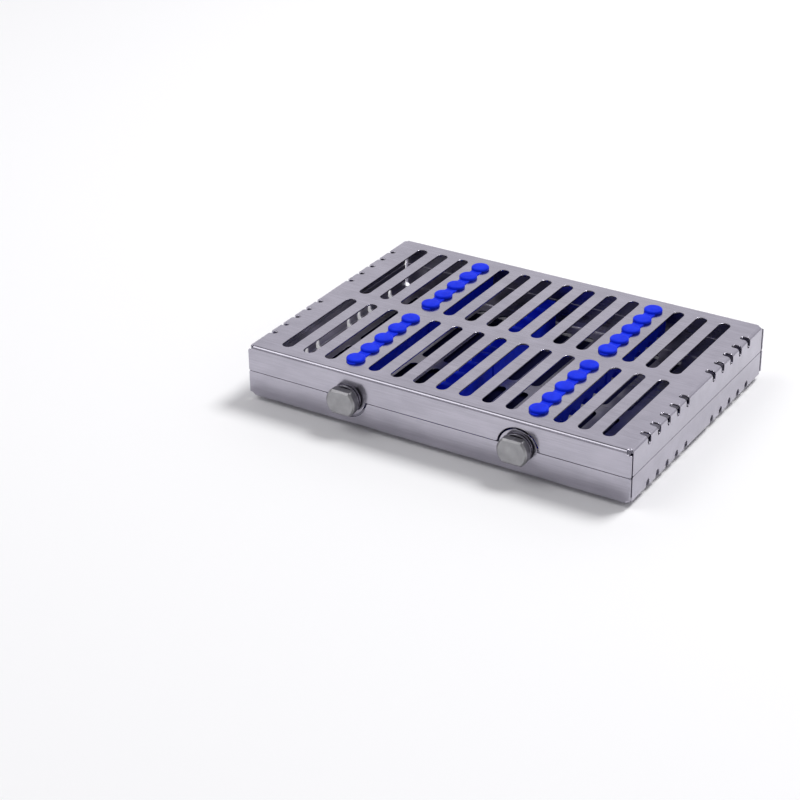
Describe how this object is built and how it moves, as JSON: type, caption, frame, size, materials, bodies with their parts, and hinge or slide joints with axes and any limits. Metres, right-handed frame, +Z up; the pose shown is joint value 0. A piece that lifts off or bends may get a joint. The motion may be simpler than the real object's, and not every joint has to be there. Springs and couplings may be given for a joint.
{
  "type": "dental instrument cassette",
  "caption": "Shallow slotted steel case of two hinged trays with quarter-turn knobs and silicone rails that cradle dental hand instruments.",
  "frame": {"origin": "middle of the closed outline, knobs and hinges included, at the height of the surface it rests on", "axes": "+X along the instruments and the long sides, -Y towards the knobs, +Z up through the lid"},
  "size_m": [0.205, 0.1564, 0.0308],
  "materials": {
    "sheet_steel": "fine brushed stainless sheet with softly worn folds",
    "turned_steel": "turned stainless, smoother and brighter than the sheet",
    "spring_steel": "dull spring steel",
    "silicone": "saturated blue silicone with a soft sheen"
  },
  "bodies": {
    "base": {"base_tray": "sheet_steel", "base_rail_front": "silicone", "base_rail_back": "silicone", "left_keeper": "sheet_steel", "right_collar": "turned_steel", "right_spring_washer": "spring_steel", "left_hinge_base_leaf": "sheet_steel", "left_hinge_pin": "turned_steel", "right_hinge_base_leaf": "sheet_steel", "right_hinge_pin": "turned_steel"},
    "lid": {"lid_tray": "sheet_steel", "lid_rail_left_front": "silicone", "lid_rail_left_back": "silicone", "lid_rail_right_front": "silicone", "lid_rail_right_back": "silicone", "right_keeper": "sheet_steel", "left_collar": "turned_steel", "left_spring_washer": "spring_steel", "left_hinge_lid_leaf": "sheet_steel", "right_hinge_lid_leaf": "sheet_steel"},
    "right_latch": {"right_knob": "turned_steel", "right_cam": "sheet_steel", "right_cam_screw": "turned_steel"},
    "left_latch": {"left_knob": "turned_steel", "left_cam": "sheet_steel", "left_cam_screw": "turned_steel"}
  },
  "joints": [
    {"name": "lid_hinge", "type": "hinge", "parent": "base", "child": "lid", "pos_m": [0, 0.07585, 0.0154], "axis": [-1, 0, 0], "range_deg": [0, 180]},
    {"name": "right_latch_turn", "type": "hinge", "parent": "base", "child": "right_latch", "pos_m": [0.046, -0.07, 0.0154], "axis": [0, -1, 0], "range_deg": [0, 90]},
    {"name": "left_latch_turn", "type": "hinge", "parent": "lid", "child": "left_latch", "pos_m": [-0.046, -0.07, 0.0154], "axis": [0, -1, 0], "range_deg": [0, 90]}
  ]
}
